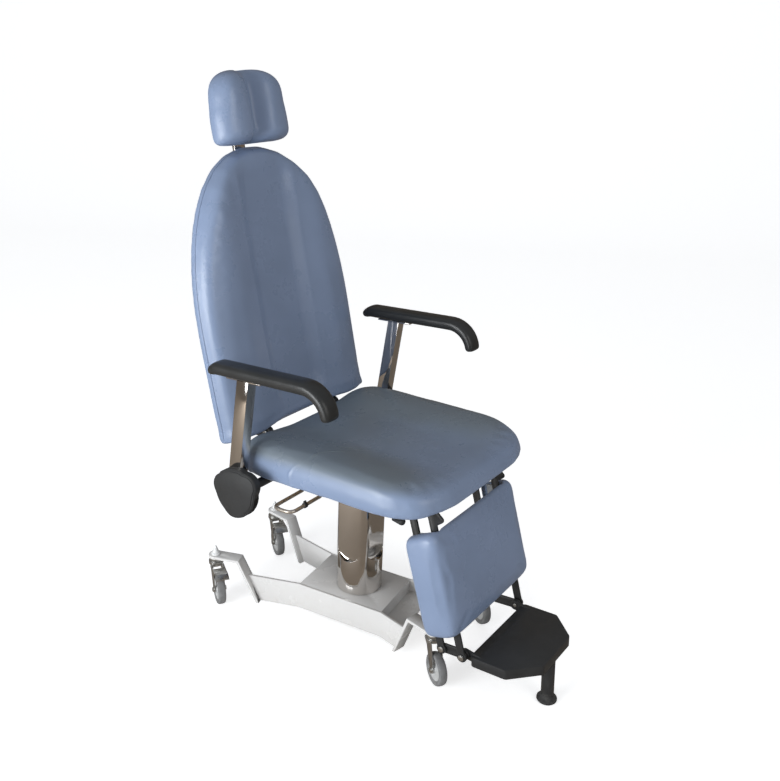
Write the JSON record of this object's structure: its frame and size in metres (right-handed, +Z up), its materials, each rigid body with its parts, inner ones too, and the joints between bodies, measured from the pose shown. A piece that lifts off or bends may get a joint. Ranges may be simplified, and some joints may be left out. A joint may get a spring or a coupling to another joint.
{
  "type": "examination chair",
  "caption": "Adjustable ear, nose and throat examination chair: reclining oval backrest, sliding headrest, flip-back arms, lifting leg rest with footplate, chrome column on a castor base.",
  "frame": {"origin": "centre of the bounding box's footprint, at the floor", "axes": "+Z up, front of the chair towards -Y, the sitter's left towards +X"},
  "size_m": [0.688, 1.0867, 1.4371],
  "materials": {
    "white_coat": "gloss white powder coat",
    "white_cap": "gloss white plastic",
    "zinc_steel": "zinc-plated steel",
    "chrome_steel": "polished chrome plate",
    "grey_steel": "grey paint",
    "bush_plastic": "natural nylon",
    "black_coat": "satin black powder coat",
    "black_plastic": "moulded black plastic",
    "pad_foam": "satin self-skinned foam",
    "vinyl": "satin blue-grey vinyl over foam",
    "board_wood": "bare plywood",
    "black_rubber": "matt rubber",
    "hub_plastic": "light grey moulding",
    "grey_tyre": "grey non-marking tread"
  },
  "bodies": {
    "base": {"side_member_left": "white_coat", "side_member_right": "white_coat", "deck": "white_coat", "castor_stems": "zinc_steel", "cap_nuts": "white_cap", "column_guide": "grey_steel", "guide_bushes": "bush_plastic", "lift_cylinder": "black_coat"},
    "riser": {"riser_tube": "chrome_steel", "lift_rod": "chrome_steel"},
    "seat": {"column_shroud": "chrome_steel", "head_plate": "black_coat", "seat_frame": "black_coat", "seat_board": "board_wood", "seat_cushion": "vinyl", "leg_pivot_pins": "zinc_steel", "back_hinge_pins": "zinc_steel", "arm_pins": "zinc_steel"},
    "release_loop": {"release_loop": "chrome_steel", "loop_clip": "black_plastic"},
    "leg_release_lever": {"leg_release_lever": "black_plastic"},
    "arm_left": {"arm_post_left": "chrome_steel", "arm_pad_left": "pad_foam", "pivot_cover_left": "black_plastic"},
    "arm_right": {"arm_post_right": "chrome_steel", "arm_pad_right": "pad_foam", "pivot_cover_right": "black_plastic"},
    "backrest": {"back_frame": "black_coat", "back_board": "board_wood", "back_cushion": "vinyl", "headrest_guide": "black_coat"},
    "clamp_knob": {"clamp_knob": "black_plastic"},
    "headrest_bar": {"headrest_bar": "chrome_steel"},
    "headrest": {"headrest_bracket": "black_coat", "headrest_board": "board_wood", "headrest_cushion": "vinyl"},
    "leg_rest": {"front_leg_bars": "black_coat", "calf_pan": "grey_steel", "calf_cushion": "vinyl"},
    "rear_leg_bars": {"rear_leg_bars": "black_coat"},
    "link": {"link_plates": "black_coat", "link_pins": "zinc_steel"},
    "footrest": {"footplate": "black_coat", "foot_post": "black_coat", "rubber_foot": "black_rubber"},
    "fork_rear_left": {"fork_rear_left": "zinc_steel"},
    "wheel_rear_left": {"hub_rear_left": "hub_plastic", "tyre_rear_left": "grey_tyre"},
    "fork_rear_right": {"fork_rear_right": "zinc_steel"},
    "wheel_rear_right": {"hub_rear_right": "hub_plastic", "tyre_rear_right": "grey_tyre"},
    "fork_front_left": {"fork_front_left": "zinc_steel"},
    "wheel_front_left": {"hub_front_left": "hub_plastic", "tyre_front_left": "grey_tyre"},
    "fork_front_right": {"fork_front_right": "zinc_steel"},
    "wheel_front_right": {"hub_front_right": "hub_plastic", "tyre_front_right": "grey_tyre"},
    "brake_pedal_left": {"brake_pedal_left": "zinc_steel"},
    "brake_pedal_right": {"brake_pedal_right": "zinc_steel"}
  },
  "joints": [
    {"name": "lift", "type": "slide", "parent": "base", "child": "riser", "axis": [0, 0, 1], "range_m": [0, 0.2]},
    {"name": "seat_swivel", "type": "hinge", "parent": "riser", "child": "seat", "pos_m": [0, 0.0792, 0.455], "axis": [0, 0, 1], "range_deg": [-110, 110]},
    {"name": "back_recline", "type": "hinge", "parent": "seat", "child": "backrest", "pos_m": [0, 0.2942, 0.545], "axis": [-1, 0, 0], "range_deg": [0, 65]},
    {"name": "headrest_slide", "type": "slide", "parent": "backrest", "child": "headrest_bar", "axis": [0, 0.2284, 0.9736], "range_m": [0, 0.12]},
    {"name": "headrest_tilt", "type": "hinge", "parent": "headrest_bar", "child": "headrest", "pos_m": [0, 0.52991, 1.3113], "axis": [-1, 0, 0], "range_deg": [0, 35]},
    {"name": "knob_turn", "type": "hinge", "parent": "backrest", "child": "clamp_knob", "pos_m": [0, 0.4666, 1.02386], "axis": [0, 0.9736, -0.2284], "range_deg": [-180, 180]},
    {"name": "arm_flip_left", "type": "hinge", "parent": "seat", "child": "arm_left", "pos_m": [0.31, 0.20055, 0.48025], "axis": [-1, 0, 0], "range_deg": [0, 95]},
    {"name": "arm_flip_right", "type": "hinge", "parent": "seat", "child": "arm_right", "pos_m": [-0.31, 0.20055, 0.48025], "axis": [-1, 0, 0], "range_deg": [0, 95]},
    {"name": "leg_lift", "type": "hinge", "parent": "seat", "child": "leg_rest", "pos_m": [0, -0.22777, 0.50544], "axis": [-1, 0, 0], "range_deg": [0, 55]},
    {"name": "rear_bars_turn", "type": "hinge", "parent": "seat", "child": "rear_leg_bars", "pos_m": [0, -0.16617, 0.4978], "axis": [-1, 0, 0], "range_deg": [0, 55]},
    {"name": "link_level", "type": "hinge", "parent": "leg_rest", "child": "link", "pos_m": [0, -0.34607, 0.13697], "axis": [-1, 0, 0], "range_deg": [-55, 0]},
    {"name": "footplate_fold", "type": "hinge", "parent": "link", "child": "footrest", "pos_m": [0, -0.34607, 0.13697], "axis": [-1, 0, 0], "range_deg": [0, 78]},
    {"name": "loop_pull", "type": "hinge", "parent": "seat", "child": "release_loop", "pos_m": [-0.153, 0.11384, 0.4607], "axis": [0, 0.9972, -0.075], "range_deg": [0, 12], "stiffness_Nm_per_rad": 3},
    {"name": "lever_pull", "type": "hinge", "parent": "seat", "child": "leg_release_lever", "pos_m": [-0.131, -0.11962, 0.50332], "axis": [-1, 0, 0], "range_deg": [0, 14], "stiffness_Nm_per_rad": 2},
    {"name": "castor_rear_left", "type": "hinge", "parent": "base", "child": "fork_rear_left", "pos_m": [0.0936, 0.48096, 0.12], "axis": [0, 0, 1], "continuous": true},
    {"name": "wheel_spin_rear_left", "type": "hinge", "parent": "fork_rear_left", "child": "wheel_rear_left", "pos_m": [0.07797, 0.45536, 0.044], "axis": [-0.8536, 0.521, 0], "continuous": true},
    {"name": "castor_rear_right", "type": "hinge", "parent": "base", "child": "fork_rear_right", "pos_m": [-0.20071, 0.4396, 0.12], "axis": [0, 0, 1], "continuous": true},
    {"name": "wheel_spin_rear_right", "type": "hinge", "parent": "fork_rear_right", "child": "wheel_rear_right", "pos_m": [-0.21634, 0.414, 0.044], "axis": [-0.8536, 0.521, 0], "continuous": true},
    {"name": "castor_front_left", "type": "hinge", "parent": "base", "child": "fork_front_left", "pos_m": [0.18885, -0.19629, 0.12], "axis": [0, 0, 1], "continuous": true},
    {"name": "wheel_spin_front_left", "type": "hinge", "parent": "fork_front_left", "child": "wheel_front_left", "pos_m": [0.17322, -0.2219, 0.044], "axis": [-0.8536, 0.521, 0], "continuous": true},
    {"name": "castor_front_right", "type": "hinge", "parent": "base", "child": "fork_front_right", "pos_m": [-0.1056, -0.23767, 0.12], "axis": [0, 0, 1], "continuous": true},
    {"name": "wheel_spin_front_right", "type": "hinge", "parent": "fork_front_right", "child": "wheel_front_right", "pos_m": [-0.12123, -0.26328, 0.044], "axis": [-0.8536, 0.521, 0], "continuous": true},
    {"name": "brake_left", "type": "hinge", "parent": "fork_rear_left", "child": "brake_pedal_left", "pos_m": [0.08656, 0.46944, 0.1097], "axis": [0.8536, -0.521, 0], "range_deg": [0, 12]},
    {"name": "brake_right", "type": "hinge", "parent": "fork_rear_right", "child": "brake_pedal_right", "pos_m": [-0.20775, 0.42808, 0.1097], "axis": [0.8536, -0.521, 0], "range_deg": [0, 12]}
  ],
  "couplings": [
    {"joint": "rear_bars_turn", "follows": "leg_lift", "ratio": 1},
    {"joint": "link_level", "follows": "leg_lift", "ratio": -1}
  ]
}
